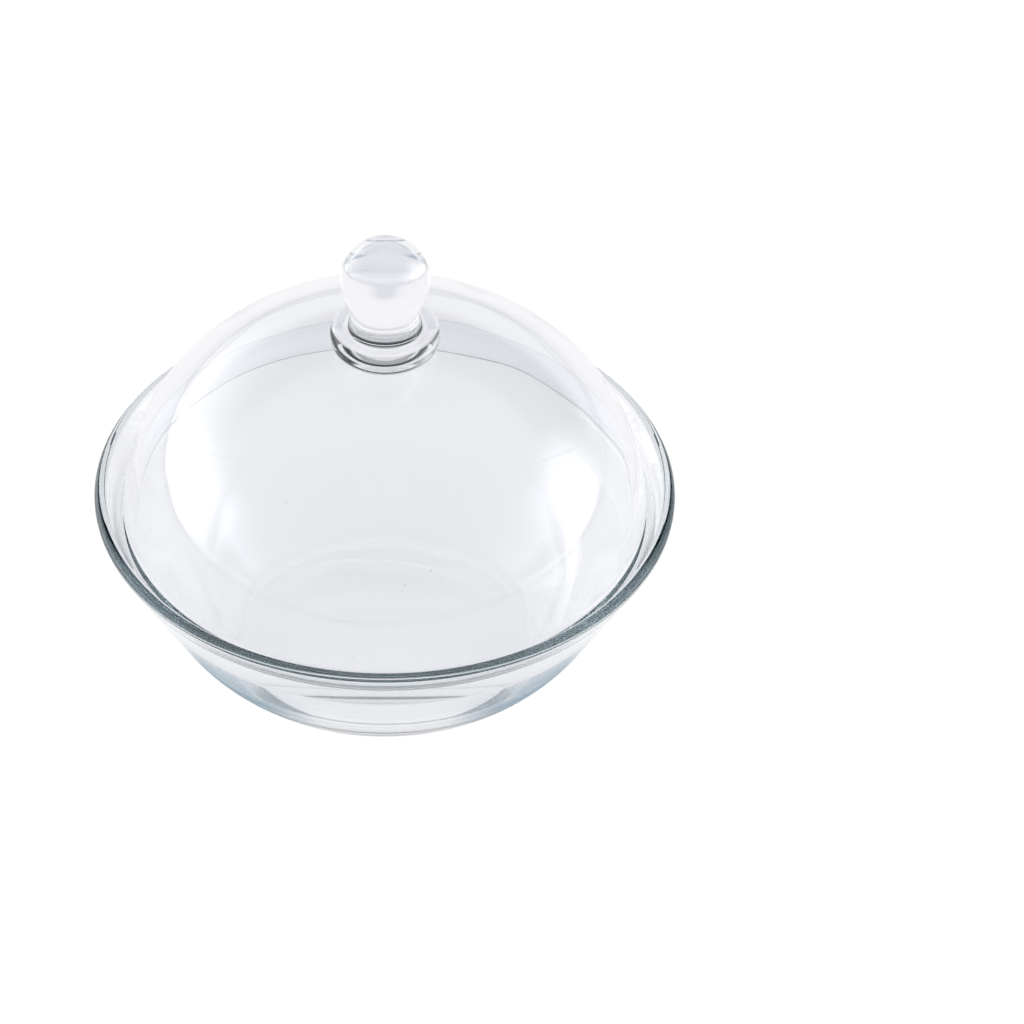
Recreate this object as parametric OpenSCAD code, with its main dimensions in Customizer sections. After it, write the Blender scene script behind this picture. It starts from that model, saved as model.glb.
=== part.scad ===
// Covered glass dish: a heavy flared dish with a rounded rim, and a lift-off domed lid with a ball knob.
// Origin at the centre of the foot, +Z up, millimetres.

/* [Dish] */
// Outside diameter of the rim
rim_d = 120; // [110:1:130]
// Height of the rim's top above the table
rim_h = 39.5; // [37:0.1:42]
// Width of the rim, across its top
rim_w = 3.2; // [2.8:0.1:3.4]
// Rounding of the rim's outer side
rim_round = 1.3; // [1:0.1:1.4]
// Glass thickness of the dish wall
dish_wall = 2.8; // [2.4:0.1:3.2]
// Glass thickness at the middle of the floor
floor_t = 4.2; // [3.6:0.1:5]
// Angle of the straight wall from the table, in degrees
wall_slope = 59.6; // [58:0.2:62]
// Height at which the straight wall turns into the round bottom
round_h = 15.3; // [14:0.1:17]
// Outside radius of the round bottom, seen in section
round_r = 40; // [38:0.5:42]
// Radius that blends the inside of the round bottom into the flat floor
floor_blend_r = 20; // [16:1:22]
// Radius of the shallow hollow under the foot
kick_r = 21; // [15:1:24]
// Depth of the shallow hollow under the foot
kick_h = 0.8; // [0.4:0.1:1.2]

/* [Ledge for the lid] */
// Drop from the top of the rim to the ledge
ledge_drop = 5; // [4:0.1:6]
// Radius of the ledge's inner edge
ledge_r = 52; // [51:0.1:52.2]
// Rounding of the ledge's inner edge
ledge_round = 1; // [0.6:0.1:1.2]
// Angle of the mouth's side above the ledge from the table, in degrees
lip_slope = 59.6; // [56:0.2:62]
// Angle of the step below the ledge from the table, in degrees
step_slope = 76; // [72:1:80]

/* [Dome] */
// Outside radius of the dome at its foot
dome_r = 54.1; // [53.5:0.1:54.5]
// Rise of the dome from the middle of its rounded foot to its crown
dome_rise = 43.6; // [40:0.1:46]
// Glass thickness of the dome
dome_t = 2.1; // [1.8:0.1:2.4]
// Gap left between the dome's foot and the ledge
seat_gap = 0.1; // [0.05:0.05:0.3]

/* [Knob] */
// Outside radius of the collar at the root of the knob
collar_r = 11.4; // [10.5:0.1:12.5]
// Height of the collar's top above the dome's crown
collar_h = 4.7; // [4.2:0.1:5.2]
// Rounding of the collar's rim
collar_round = 2.3; // [2:0.05:2.4]
// Radius of the neck at its narrowest
neck_r = 7.05; // [6.5:0.05:7.4]
// Radius of the ball
ball_r = 9.25; // [8.8:0.05:9.6]
// Overall height, to the top of the ball
overall_h = 105; // [100:0.5:110]

/* [Hidden] */
$fn = 144;
arc_n = 14;  // segments in each round stretch of an outline
dome_n = 40; // segments in the dome's long curve
root_n = 6;  // segments in its crown, under the collar
glass = [0.86, 0.91, 0.92, 0.45];
glass_lid = [0.90, 0.94, 0.96, 0.40];

// Points of a round stretch of an outline, from angle a0 to angle a1
function arc(c, r, a0, a1, n = arc_n) =
    [for (i = [0:n]) let (a = a0 + (a1 - a0) * i / n) c + r * [cos(a), sin(a)]];
// Direction of a vector, in degrees
function heading(v) = atan2(v[1], v[0]);
// Points of the rounding of radius r at corner b, on the way from a to c
function rounding(a, b, c, r, n = arc_n) =
    let (
        u = (a - b) / norm(a - b), v = (c - b) / norm(c - b), half = acos(u * v) / 2,
        m = b + (u + v) / norm(u + v) * r / sin(half),
        a0 = heading(b + u * r / tan(half) - m), a1 = heading(b + v * r / tan(half) - m)
    )
    arc(m, r, a0, a0 + (a1 - a0 + 540) % 360 - 180, n);
// Points along the dome's upright ellipse of radius a and rise b, from angle t0 to angle t1
function quarter(a, b, n, t0, t1) =
    [for (i = [0:n]) let (t = t0 + (t1 - t0) * i / n) [a * cos(t), dome_z + b * sin(t)]];

// Dish: the outer wall line runs down from the rounding at the rim to the round bottom
wall_dir = [cos(wall_slope), sin(wall_slope)];
wall_out = [sin(wall_slope), -cos(wall_slope)];
wall_top = [rim_d / 2 - rim_round, rim_h - rim_round] + rim_round * wall_out;
wall_low = wall_top - wall_dir * (wall_top[1] - round_h) / wall_dir[1];

// Round bottom, its inner face parallel to it, and the soft corner of the foot
round_c = wall_low - round_r * wall_out;
foot_round = 4;
foot_x = round_c[0] + sqrt(pow(round_r - foot_round, 2) - pow(round_c[1] - foot_round, 2));
foot_c = [foot_x, foot_round];
foot_end = heading(foot_c - round_c);
inner_r = round_r - dish_wall;
blend_z = floor_t + floor_blend_r;
blend_x = round_c[0] + sqrt(pow(inner_r - floor_blend_r, 2) - pow(round_c[1] - blend_z, 2));
blend_c = [blend_x, blend_z];
blend_end = heading(blend_c - round_c);
kick_big_r = (kick_r * kick_r + kick_h * kick_h) / (2 * kick_h);
kick_a = asin(kick_r / kick_big_r);

// Corners of the mouth, before they are rounded: rim, ledge, and the step down to the inner wall
ledge_z = rim_h - ledge_drop;
inner_low = wall_low - dish_wall * wall_out;
rim_out = [wall_top[0] + (rim_h - wall_top[1]) / tan(wall_slope), rim_h];
rim_in = rim_out - [rim_w, 0];
lip_low = [rim_in[0] - ledge_drop / tan(lip_slope), ledge_z];
ledge_in = [ledge_r, ledge_z];
step_h = (lip_low[1] - inner_low[1] + (inner_low[0] - ledge_r) * tan(wall_slope))
    / (1 - tan(wall_slope) / tan(step_slope));
step_low = ledge_in - step_h * [1 / tan(step_slope), 1];
rim_in_round = 1.3;
lip_round = 1.8;
step_round = 5;

// Levels of the dome, and the circle on it where the collar's round edge comes down
foot_r = dome_t / 2;
dome_z = ledge_z + seat_gap + foot_r;
crown_z = dome_z + dome_rise;
root_r = collar_r - collar_round;
root_t = acos(root_r / dome_r);
root_z = dome_z + dome_rise * sin(root_t);

// Levels and blends of the knob
collar_z = crown_z + collar_h;
ball_z = overall_h - ball_r;
flare_r = 2.2;
flare_end = 255;  // the flare stops short of level, so its edge isn't a feather
drawn_r = 13;     // the ball's lower half is drawn out a little towards the neck
drawn_c = [ball_r - drawn_r, ball_z];
nape_r = 3;
nape_x = neck_r + nape_r;
nape_c = [nape_x, ball_z - sqrt(pow(drawn_r + nape_r, 2) - pow(nape_x - drawn_c[0], 2))];

module dish() {
    color(glass) rotate_extrude() polygon(concat(
        arc([0, kick_h - kick_big_r], kick_big_r, 90, 90 - kick_a),
        arc(foot_c, foot_round, -90, foot_end),
        arc(round_c, round_r, foot_end, wall_slope - 90, 2 * arc_n),
        rounding(wall_low, rim_out, rim_in, rim_round),
        rounding(rim_out, rim_in, lip_low, rim_in_round),
        rounding(rim_in, lip_low, ledge_in, lip_round),
        rounding(lip_low, ledge_in, step_low, ledge_round),
        rounding(ledge_in, step_low, inner_low, step_round),
        arc(round_c, inner_r, wall_slope - 90, blend_end, 2 * arc_n),
        arc(blend_c, floor_blend_r, blend_end, -90),
        [[0, floor_t]]
    ));
}

module dome() {
    color(glass_lid) rotate_extrude() polygon(concat(
        quarter(dome_r, dome_rise, dome_n, 0, root_t),
        quarter(dome_r, dome_rise, root_n, root_t, 90),
        quarter(dome_r - dome_t, dome_rise - dome_t, dome_n, 90, 0),
        arc([dome_r - foot_r, dome_z], foot_r, 180, 360)
    ));
}

// The collar is a thick round-edged disc, its underside the same curve as the dome's crown
module knob_collar() {
    color(glass_lid) rotate_extrude() polygon(concat(
        quarter(dome_r, dome_rise, root_n, 90, root_t),
        arc([root_r, root_z + collar_round], collar_round, -90, 0),
        arc([root_r, collar_z - collar_round], collar_round, 0, 90),
        [[0, collar_z]]
    ));
}

module knob() {
    color(glass_lid) rotate_extrude() polygon(concat(
        [[0, collar_z], [neck_r + flare_r + flare_r * cos(flare_end), collar_z]],
        arc([neck_r + flare_r, collar_z + flare_r], flare_r, flare_end, 180),
        arc(nape_c, nape_r, 180, heading(drawn_c - nape_c)),
        arc(drawn_c, drawn_r, heading(nape_c - drawn_c), 0),
        arc([0, ball_z], ball_r, 0, 90, 2 * arc_n)
    ));
}

dish();
dome();
knob_collar();
knob();
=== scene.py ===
"""A covered glass dish: a heavy flared dish and its blown domed lid with a ball knob, on a pale table."""

import math

import bmesh
import bpy
import numpy as np
from mathutils import Matrix, Vector, noise


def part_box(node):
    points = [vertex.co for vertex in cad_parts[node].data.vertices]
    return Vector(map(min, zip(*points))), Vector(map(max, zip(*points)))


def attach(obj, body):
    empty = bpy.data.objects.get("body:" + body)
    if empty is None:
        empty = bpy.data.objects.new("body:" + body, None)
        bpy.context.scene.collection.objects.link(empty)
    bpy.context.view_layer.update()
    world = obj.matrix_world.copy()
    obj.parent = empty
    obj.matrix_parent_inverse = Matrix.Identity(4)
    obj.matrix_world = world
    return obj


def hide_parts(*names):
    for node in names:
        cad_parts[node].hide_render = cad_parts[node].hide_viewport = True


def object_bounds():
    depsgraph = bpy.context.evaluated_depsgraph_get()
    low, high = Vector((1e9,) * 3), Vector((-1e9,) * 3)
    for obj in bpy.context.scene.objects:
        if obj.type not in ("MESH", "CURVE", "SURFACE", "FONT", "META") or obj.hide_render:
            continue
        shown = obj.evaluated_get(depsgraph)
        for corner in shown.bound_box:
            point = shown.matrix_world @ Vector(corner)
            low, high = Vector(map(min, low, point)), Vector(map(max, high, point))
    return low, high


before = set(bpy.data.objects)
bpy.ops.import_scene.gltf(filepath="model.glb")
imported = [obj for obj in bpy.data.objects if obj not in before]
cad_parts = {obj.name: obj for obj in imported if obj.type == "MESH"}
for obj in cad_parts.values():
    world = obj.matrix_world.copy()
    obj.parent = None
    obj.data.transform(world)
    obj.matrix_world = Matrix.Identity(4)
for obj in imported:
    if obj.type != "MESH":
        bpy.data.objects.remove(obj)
cad_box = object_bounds()
MM = 0.001


# ---------------------------------------------------------------- Dish
# The dish is pressed in a mould from one gather of clear glass: a flat foot with a shallow hollow under it,
# a round bottom, a straight flared wall, and a ledge inside the rim for the lid. The rim is rounded in a
# flame. A few seeds of air stay in the floor.


def arc(centre, radius, start, end, steps):
    """Points of a round stretch of an outline, from one angle to another in degrees."""
    turn = np.radians(np.linspace(start, end, steps + 1))
    return [(centre[0] + radius * math.cos(t), centre[1] + radius * math.sin(t)) for t in turn]


def heading(tail, tip):
    """Direction from one point of an outline to another, in degrees."""
    return math.degrees(math.atan2(tip[1] - tail[1], tip[0] - tail[0]))


def rounding(before, corner, after, radius, steps):
    """Points of the rounding at a corner of an outline, on the way from the point before to the one after."""
    back, ahead = Vector(before) - Vector(corner), Vector(after) - Vector(corner)
    back.normalize()
    ahead.normalize()
    half = math.acos(back.dot(ahead)) / 2
    centre = Vector(corner) + (back + ahead).normalized() * radius / math.sin(half)
    start = heading(centre, Vector(corner) + back * radius / math.tan(half))
    end = heading(centre, Vector(corner) + ahead * radius / math.tan(half))
    return arc(centre, radius, start, start + (end - start + 540) % 360 - 180, steps)


def tidied(outline):
    """The outline without doubled points, and with a point close to each end of its straight stretches.

    The close points keep the shading normals of a straight stretch true, so the glass bends light rightly.
    """
    doubled, straight_length, close = 0.001 * MM, 1.1 * MM, 0.03 * MM
    kept = [Vector(outline[0])]
    for point in map(Vector, outline[1:]):
        length = (point - kept[-1]).length
        if length < doubled:
            continue
        if length > straight_length:
            step = (point - kept[-1]) * close / length
            kept += [kept[-1] + step, point - step]
        kept.append(point)
    return [tuple(point) for point in kept]


def turned(name, outline, waves=None, around=240, closed=False, melted=None, seeds=()):
    """A glass piece spun from an outline of (radius, height).

    waves(x, y, z) is a small push outwards. Faces whose corners are all melted(radius, height) run into the
    next piece. Each seed is a bubble inside the glass, (x, y, z, radius).
    """
    outline = tidied(outline)
    axis_reach = 0.001 * MM
    crease = math.radians(40)
    shape = bmesh.new()
    rings = []
    for radius, height in outline:
        if radius < axis_reach:
            rings.append([shape.verts.new((0, 0, height))])
            continue
        ring = []
        for i in range(around):
            turn = 2 * math.pi * i / around
            x, y = radius * math.cos(turn), radius * math.sin(turn)
            push = 1 + waves(x, y, height) / radius if waves else 1
            ring.append(shape.verts.new((x * push, y * push, height)))
        rings.append(ring)
    last = len(rings) if closed else len(rings) - 1
    for k in range(last):
        low, high = rings[k], rings[(k + 1) % len(rings)]
        if len(low) == len(high) == 1:
            continue
        joined = melted is not None and melted(*outline[k]) and melted(*outline[(k + 1) % len(rings)])
        for i in range(around):
            j = (i + 1) % around
            corners = [low[i % len(low)], low[j % len(low)], high[j % len(high)], high[i % len(high)]]
            face = shape.faces.new(list(dict.fromkeys(corners)))
            face.material_index = int(joined)
    bmesh.ops.recalc_face_normals(shape, faces=shape.faces[:])
    for x, y, z, radius in seeds:
        before = set(shape.faces)
        place = Matrix.Translation((x, y, z))
        bmesh.ops.create_icosphere(shape, subdivisions=2, radius=radius, matrix=place)
        bmesh.ops.reverse_faces(shape, faces=[face for face in shape.faces if face not in before])
    mesh = bpy.data.meshes.new(name)
    shape.to_mesh(mesh)
    shape.free()
    mesh.shade_smooth()
    mesh.set_sharp_from_angle(angle=crease)
    piece = bpy.data.objects.new(name, mesh)
    bpy.context.scene.collection.objects.link(piece)
    return piece


rim_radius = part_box("dish")[1].x
rim_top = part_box("dish")[1].z
rim_round = 1.3 * MM
rim_width = 3.2 * MM
wall_slope = math.radians(59.6)
wall_thickness = 2.8 * MM
along_wall = Vector((math.cos(wall_slope), math.sin(wall_slope)))
out_of_wall = Vector((along_wall.y, -along_wall.x))
wall_top = Vector((rim_radius - rim_round, rim_top - rim_round)) + rim_round * out_of_wall
bottom_radius = 40 * MM
bottom_height = 15.3 * MM
wall_foot = wall_top - along_wall * (wall_top.y - bottom_height) / along_wall.y
bottom_centre = wall_foot - bottom_radius * out_of_wall
wall_angle = math.degrees(wall_slope)


def blend_inside(centre, radius, blend, height):
    """Centre of a blend between a level line at a height and the inside of a circle."""
    return (centre[0] + math.sqrt((radius - blend) ** 2 - (centre[1] - height - blend) ** 2), height + blend)


foot_blend = 4 * MM
foot_corner = blend_inside(bottom_centre, bottom_radius, foot_blend, 0)
foot_turn = heading(bottom_centre, foot_corner)
floor_thickness = 4.2 * MM
floor_blend = 20 * MM
inside_radius = bottom_radius - wall_thickness
floor_corner = blend_inside(bottom_centre, inside_radius, floor_blend, floor_thickness)
floor_turn = heading(bottom_centre, floor_corner)
hollow_radius = 21 * MM
hollow_depth = 0.8 * MM
hollow_curve = (hollow_radius**2 + hollow_depth**2) / (2 * hollow_depth)
hollow_turn = math.degrees(math.asin(hollow_radius / hollow_curve))

# Corners of the mouth, before they are rounded: the rim, the ledge, and the step down to the inner wall
ledge_drop = 5 * MM
ledge_radius = 52 * MM
ledge_round = 1 * MM
lip_round = 1.8 * MM
step_round = 5 * MM
step_slope = math.radians(76)
inside_foot = wall_foot - wall_thickness * out_of_wall
rim_outside = Vector((wall_top.x + (rim_top - wall_top.y) / math.tan(wall_slope), rim_top))
rim_inside = rim_outside - Vector((rim_width, 0))
lip_foot = rim_inside - Vector((ledge_drop / math.tan(wall_slope), ledge_drop))
ledge_edge = Vector((ledge_radius, lip_foot.y))
ledge_over_wall = lip_foot.y - inside_foot.y + (inside_foot.x - ledge_radius) * math.tan(wall_slope)
step_drop = ledge_over_wall / (1 - math.tan(wall_slope) / math.tan(step_slope))
step_foot = ledge_edge - Vector((step_drop / math.tan(step_slope), step_drop))

dish_outline = (
    arc((0, hollow_depth - hollow_curve), hollow_curve, 90, 90 - hollow_turn, 26)
    + arc(foot_corner, foot_blend, -90, foot_turn, 16)
    + arc(bottom_centre, bottom_radius, foot_turn, wall_angle - 90, 48)
    + rounding(wall_foot, rim_outside, rim_inside, rim_round, 20)
    + rounding(rim_outside, rim_inside, lip_foot, rim_round, 16)
    + rounding(rim_inside, lip_foot, ledge_edge, lip_round, 14)
    + rounding(lip_foot, ledge_edge, step_foot, ledge_round, 12)
    + rounding(ledge_edge, step_foot, inside_foot, step_round, 10)
    + arc(bottom_centre, inside_radius, wall_angle - 90, floor_turn, 44)
    + arc(floor_corner, floor_blend, floor_turn, -90, 24)
    + [(0, floor_thickness)]
)


def waviness(depth, size, x, y, z):
    """A slow unevenness of the glass, of a depth and a size."""
    return depth * noise.noise(Vector((x, y, z)) / size)


def mould_waves(x, y, z):
    """The dish is a little uneven from the mould."""
    return waviness(0.04 * MM, 22 * MM, x, y, z)


floor_seeds = [
    (9.1 * MM, 17.6 * MM, 2.6 * MM, 0.24 * MM),
    (3.8 * MM, 12.9 * MM, 2.2 * MM, 0.18 * MM),
    (-14.5 * MM, 6.2 * MM, 2.4 * MM, 0.13 * MM),
    (-6.3 * MM, -11.8 * MM, 1.9 * MM, 0.16 * MM),
    (17.2 * MM, -4.1 * MM, 2.5 * MM, 0.12 * MM),
]
dish = turned("glass_dish", dish_outline, mould_waves, seeds=floor_seeds)
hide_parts("dish")
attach(dish, "dish")


class Socket:
    """A shader value that takes part in Python sums; each sum adds its Math node."""

    def __init__(self, tree, link=None):
        self.tree = tree
        self.link = link

    def node(self, kind, settings=None, out=0, **inputs):
        """Adds a node of a kind, with its settings, and its inputs by name or, as _0, by number."""
        made = self.tree.nodes.new(kind)
        for key, value in (settings or {}).items():
            setattr(made, key, value)
        for key, value in inputs.items():
            place = made.inputs[int(key[1:])] if key[1:].isdigit() else made.inputs[key.replace("_", " ")]
            if isinstance(value, Socket):
                self.tree.links.new(value.link, place)
            else:
                place.default_value = value
        return Socket(self.tree, made.outputs[out])

    def feed(self, shader, name):
        """Leads this value into an input of a shader that is there already."""
        self.tree.links.new(self.link, self.tree.nodes[shader].inputs[name])

    def sum(self, operation, first, second):
        """One step of a sum, as a Math node."""
        return self.node("ShaderNodeMath", {"operation": operation}, _0=first, _1=second)

    def size(self):
        """The value without its sign."""
        return self.sum("ABSOLUTE", self, 0)

    def soft_step(self, start, end):
        """0 below the start, 1 above the end, and a smooth rise between."""
        smooth = {"interpolation_type": "SMOOTHSTEP"}
        return self.node("ShaderNodeMapRange", smooth, Value=self, From_Min=start, From_Max=end)

    def blend(self, low, high):
        """A colour between two, by this value; each is a colour or a Socket."""
        return self.node("ShaderNodeMix", {"data_type": "RGBA"}, 2, _0=self, _6=low, _7=high)

    def __add__(self, other):
        return self.sum("ADD", self, other)

    def __mul__(self, other):
        return self.sum("MULTIPLY", self, other)

    def __sub__(self, other):
        return self.sum("SUBTRACT", self, other)

    def __rsub__(self, other):
        return self.sum("SUBTRACT", other, self)

    __radd__ = __add__
    __rmul__ = __mul__


def glass(name, tint, ripple_size, ripple_depth, soak=0):
    """Clear glass with a faint ripple in its fire polish, and wiping marks that only dull its highlights.

    A soak above 0 gives it a body that takes up a little red light.
    """
    made = bpy.data.materials.new(name)
    made.use_nodes = True
    tree = made.node_tree
    shader = tree.nodes["Principled BSDF"]
    shader.inputs["Transmission Weight"].default_value = 1
    shader.inputs["IOR"].default_value = 1.5
    shader.inputs["Base Color"].default_value = (*tint, 1)
    start = Socket(tree)
    place = start.node("ShaderNodeTexCoord", out="Object")
    ripple = start.node("ShaderNodeTexNoise", Vector=place, Scale=1 / ripple_size, Detail=2, Roughness=0.35)
    bump = start.node("ShaderNodeBump", Height=ripple, Distance=ripple_depth, Strength=1)
    bump.feed("Principled BSDF", "Normal")
    wiped = start.node("ShaderNodeMapping", Vector=place, Rotation=(0.3, 0.2, 0.9), Scale=(40, 260, 90))
    marks = start.node("ShaderNodeTexNoise", Vector=wiped, Scale=1, Detail=4, Roughness=0.6)
    (marks.soft_step(0.5, 0.8) * 0.035).feed("Principled BSDF", "Roughness")
    if soak:
        body = start.node("ShaderNodeVolumeAbsorption", Color=(0.64, 0.7, 0.715, 1), Density=soak)
        body.feed("Material Output", "Volume")
    return made


dish_glass = glass("dish_glass", (0.985, 0.99, 1), 9 * MM, 0.006 * MM, soak=26)
dish.data.materials.append(dish_glass)


# ---------------------------------------------------------------- Dome
# The dome is blown thin and cut from the pipe, and its foot is fire-polished round. It stands loose on the
# ledge of the dish. Blown glass is never quite even in thickness, so what is seen through it wavers. Under the
# collar its outside is melted into the knob's glass, so those faces don't show.

dome_low, dome_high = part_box("dome")
dome_radius = dome_high.x
dome_thickness = 2.1 * MM
dome_level = dome_low.z + dome_thickness / 2
dome_rise = dome_high.z - dome_level
collar_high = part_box("knob_collar")[1]
collar_round = 2.3 * MM
root_radius = collar_high.x - collar_round
root_turn = math.degrees(math.acos(root_radius / dome_radius))
root_height = dome_level + dome_rise * math.sin(math.radians(root_turn))
hair = 0.01 * MM


def quarter(radius, rise, start, end, steps):
    """Points of the dome's upright ellipse, from one angle to another in degrees."""
    turn = np.radians(np.linspace(start, end, steps + 1))
    return [(radius * math.cos(t), dome_level + rise * math.sin(t)) for t in turn]


def blown_waves(x, y, z):
    """The inside of the dome stands in and out in slow waves; its outside and its foot are even."""
    outside = math.sqrt(max(0, 1 - ((z - dome_level) / dome_rise) ** 2))
    if math.hypot(x, y) / dome_radius > outside - 0.01:
        return 0
    above_foot = min(1, max(0, (z - dome_level) / (8 * MM)))
    return waviness(0.13 * MM * above_foot, 12 * MM, x, y, z)


def dome_melts(radius, height):
    """Whether a point of the dome's outline lies under the collar."""
    return radius < root_radius + hair and height > root_height - hair


dome_outline = (
    quarter(dome_radius, dome_rise, 0, root_turn, 90)
    + quarter(dome_radius, dome_rise, root_turn, 90, 8)
    + quarter(dome_radius - dome_thickness, dome_rise - dome_thickness, 90, 0, 96)
    + arc((dome_radius - dome_thickness / 2, dome_level), dome_thickness / 2, 180, 360, 20)[:-1]
)
dome_seeds = [
    (-19.6 * MM, -33.9 * MM, dome_level + 28.8 * MM, 0.13 * MM),
    (24.8 * MM, -14.1 * MM, dome_level + 34.7 * MM, 0.11 * MM),
]
dome = turned("glass_dome", dome_outline, blown_waves, closed=True, melted=dome_melts, seeds=dome_seeds)
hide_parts("dome")
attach(dome, "lid")
lid_glass = glass("lid_glass", (0.975, 0.98, 0.995), 7 * MM, 0.006 * MM)
melted_joint = bpy.data.materials.new("melted_joint")
melted_joint.use_nodes = True
melted_joint.node_tree.nodes["Principled BSDF"].inputs["Alpha"].default_value = 0
dome.data.materials.append(lid_glass)
dome.data.materials.append(melted_joint)


# ---------------------------------------------------------------- Collar and knob
# A second gather is pressed on the crown as a round-edged collar, and a third is worked into the solid ball
# knob with its short neck. They are melted together, so the glass is one clear body where they meet.

collar_top = collar_high.z
knob_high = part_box("knob")[1]
neck_radius = 7.05 * MM
flare = 2 * MM
flare_foot = neck_radius + flare


def pressed_waves(x, y, z):
    """The collar's edge is a little uneven from the press."""
    past_root = min(1, max(0, (math.hypot(x, y) - root_radius) / collar_round))
    return waviness(0.06 * MM * past_root, 6 * MM, x, y, z)


def collar_melts(radius, height):
    """Whether a point of the collar's outline lies on the dome or under the knob."""
    on_dome = radius < root_radius + hair and height < dome_high.z + hair
    return on_dome or radius < flare_foot + hair and height > collar_top - hair


collar_outline = (
    quarter(dome_radius, dome_rise, 90, root_turn, 12)
    + arc((root_radius, root_height + collar_round), collar_round, -90, 0, 16)
    + arc((root_radius, collar_top - collar_round), collar_round, 0, 90, 16)
    + [(flare_foot, collar_top), (0, collar_top)]
)
collar = turned("knob_collar_glass", collar_outline, pressed_waves, around=160, melted=collar_melts)
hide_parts("knob_collar")
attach(collar, "lid")
collar.data.materials.append(lid_glass)
collar.data.materials.append(melted_joint)

ball_radius = knob_high.x
ball = (0, knob_high.z - ball_radius)
drawn_radius = 13 * MM
drawn = (ball_radius - drawn_radius, ball[1])
nape = 3 * MM
nape_centre = (
    neck_radius + nape,
    ball[1] - math.sqrt((drawn_radius + nape) ** 2 - (neck_radius + nape - drawn[0]) ** 2),
)


def worked_waves(x, y, z):
    """The ball and neck are shaped by hand, so they are a little out of round."""
    above_joint = min(1, max(0, (z - collar_top) / (3 * MM)))
    return waviness(0.05 * MM * above_joint, 9 * MM, x, y, z)


def knob_melts(radius, height):
    """Whether a point of the knob's outline lies on the collar."""
    return height < collar_top + hair


knob_outline = (
    [(0, collar_top)]
    + arc((flare_foot, collar_top + flare), flare, 270, 180, 14)
    + arc(nape_centre, nape, 180, heading(nape_centre, drawn), 10)
    + arc(drawn, drawn_radius, heading(drawn, nape_centre), 0, 16)
    + arc(ball, ball_radius, 0, 90, 40)
)
knob = turned("ball_knob_glass", knob_outline, worked_waves, around=160, melted=knob_melts)
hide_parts("knob")
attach(knob, "lid")
knob.data.materials.append(lid_glass)
knob.data.materials.append(melted_joint)


# ---------------------------------------------------------------- Studio
# A white table that glows evenly near the dish and less further off, with a painted soft shadow to each side
# under the near wall of the dish. Seen straight from the lens the table is plain white; the dimming and the
# painted shadow show only through the glass. A pale room with a dark wall behind and a large soft window on
# each side.
# The lens is long and looks down on the dish.

table = bpy.data.objects.new("table", bpy.data.meshes.new("table"))
shape = bmesh.new()
bmesh.ops.create_circle(shape, cap_ends=True, segments=96, radius=3)
shape.to_mesh(table.data)
shape.free()
table.location.z = cad_box[0].z - 0.02 * MM
bpy.context.scene.collection.objects.link(table)
paper = bpy.data.materials.new("white_table")
paper.use_nodes = True
shader = paper.node_tree.nodes["Principled BSDF"]
shader.inputs["Base Color"].default_value = (0, 0, 0, 1)
shader.inputs["Specular IOR Level"].default_value = 0
shader.inputs["Emission Strength"].default_value = 1
start = Socket(paper.node_tree)
place = start.node("ShaderNodeTexCoord", out="Object")
away = start.node("ShaderNodeVectorMath", {"operation": "LENGTH"}, "Value", _0=place)
straight = start.node("ShaderNodeLightPath", out="Is Camera Ray")
lit = away.soft_step(0.3, 1.6).blend((0.95, 0.945, 0.96, 1), (0.4, 0.41, 0.42, 1))
nearer = 0 - start.node("ShaderNodeSeparateXYZ", out="Y", Vector=place)
aside = start.node("ShaderNodeSeparateXYZ", out="X", Vector=place).size()
# Painted shadow: the table's glow turns blue grey in a ring under the near wall, to each side of the front,
# where the dish would shade it
under_wall = away.soft_step(30 * MM, 36 * MM) * (1 - away.soft_step(41 * MM, 50 * MM))
painted_shadow = under_wall * nearer.soft_step(3 * MM, 16 * MM) * aside.soft_step(12 * MM, 28 * MM)
lit = painted_shadow.blend(lit, (0.42, 0.51, 0.58, 1))
straight.blend(lit, (1.02, 1.02, 1.02, 1)).feed("Principled BSDF", "Emission Color")
table.data.materials.append(paper)

world = bpy.data.worlds.new("studio")
bpy.context.scene.world = world
world.use_nodes = True
start = Socket(world.node_tree)
toward = start.node("ShaderNodeTexCoord", out="Generated")
height = start.node("ShaderNodeSeparateXYZ", out="Z", Vector=toward)


def along(direction):
    """How far a sight line runs along a direction."""
    product = {"operation": "DOT_PRODUCT"}
    return start.node("ShaderNodeVectorMath", product, "Value", _0=toward, _1=tuple(direction))


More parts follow.
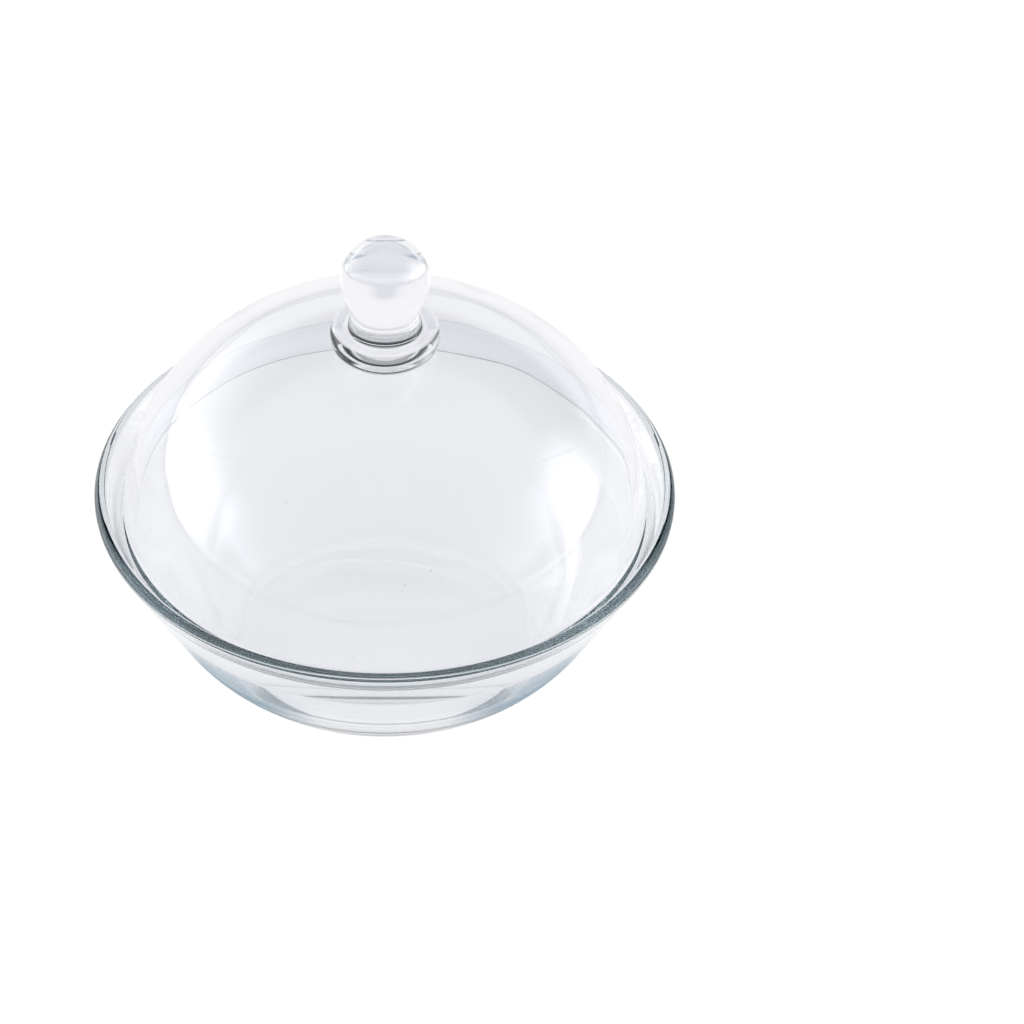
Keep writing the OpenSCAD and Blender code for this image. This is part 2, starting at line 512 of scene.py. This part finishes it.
def window(turn, rise, width, tall, soft):
    """A soft-edged window: the way to its middle in degrees, its half sizes and the blur of its edge."""
    turn, rise = math.radians(turn), math.radians(rise)
    middle = Vector((math.cos(turn) * math.cos(rise), math.sin(turn) * math.cos(rise), math.sin(rise)))
    side = Vector((-math.sin(turn), math.cos(turn), 0))
    across = 1 - along(side).size().soft_step(width - soft, width + soft)
    upright = 1 - along(middle.cross(side)).size().soft_step(tall - soft, tall + soft)
    return across * upright * along(middle).soft_step(0, 0.1)


room = height.soft_step(0, 0.9).blend((0.85, 0.86, 0.88, 1), (0.35, 0.36, 0.38, 1))
room = window(90, 33, 0.8, 0.27, 0.08).blend(room, (0.02, 0.025, 0.03, 1))
left_window = window(152, 10, 0.5, 0.3, 0.25).blend((0, 0, 0, 1), (1.7, 1.7, 1.7, 1))
right_window = window(10, 12, 0.22, 0.28, 0.14).blend((0, 0, 0, 1), (1.6, 1.7, 1.8, 1))
lights = start.node("ShaderNodeVectorMath", {"operation": "ADD"}, _0=left_window, _1=right_window)
room = start.node("ShaderNodeVectorMath", {"operation": "ADD"}, _0=room, _1=lights)
straight = start.node("ShaderNodeLightPath", out="Is Camera Ray")
straight.blend(room, (1, 1, 1, 1)).feed("Background", "Color")

lens = bpy.data.objects.new("camera", bpy.data.cameras.new("camera"))
bpy.context.scene.collection.objects.link(lens)
bpy.context.scene.camera = lens
elevation = math.radians(40.3)
distance = 4
frame_width = 211.57 * MM
beside_axis = 26.32 * MM
below_rim = 3.41 * MM
lens.data.sensor_width = 36
lens.data.lens = 36 * distance / frame_width
lens.data.clip_end = 20
back = Vector((0, -math.cos(elevation), math.sin(elevation)))
upright = Vector((0, math.sin(elevation), math.cos(elevation)))
rim_centre = Vector((0, 0, rim_top - rim_round))
lens.location = rim_centre + Vector((beside_axis, 0, 0)) - upright * below_rim + back * distance
level_view = (-back).to_track_quat("-Z", "Y")
tilt = Matrix.Rotation(math.radians(0.45), 3, "Z").to_quaternion()
lens.rotation_euler = (level_view @ tilt).to_euler()

scene = bpy.context.scene
scene.view_settings.view_transform = "Standard"
scene.cycles.max_bounces = 64
scene.cycles.transmission_bounces = 48
scene.cycles.glossy_bounces = 48
scene.cycles.transparent_max_bounces = 16
